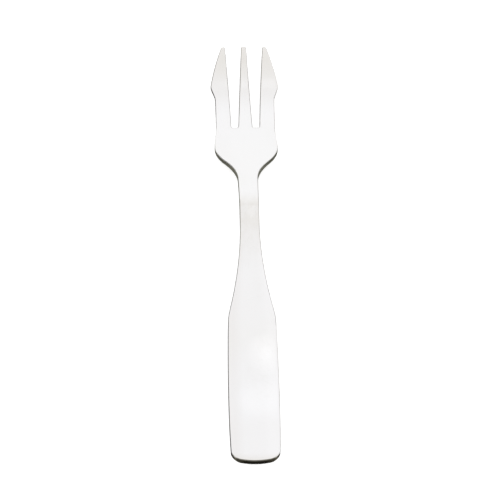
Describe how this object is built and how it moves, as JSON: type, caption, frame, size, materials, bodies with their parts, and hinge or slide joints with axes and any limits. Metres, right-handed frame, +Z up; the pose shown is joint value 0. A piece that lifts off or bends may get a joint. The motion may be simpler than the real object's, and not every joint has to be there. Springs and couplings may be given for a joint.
{
  "type": "oyster fork",
  "caption": "Small one-piece table fork with slim pointed tines, barbed outer tines, a flat palm, a raised slim neck and a flat barrel-shaped grip.",
  "frame": {"origin": "on the table that the fork rests on, under the middle of its length and width", "axes": "+Y along the fork from the handle towards the tine tips, +X across it to the right, +Z up from the table"},
  "size_m": [0.021, 0.143, 0.0121],
  "materials": {
    "steel": "polished stainless steel"
  },
  "bodies": {
    "root": {"fork": "steel"}
  },
  "joints": []
}
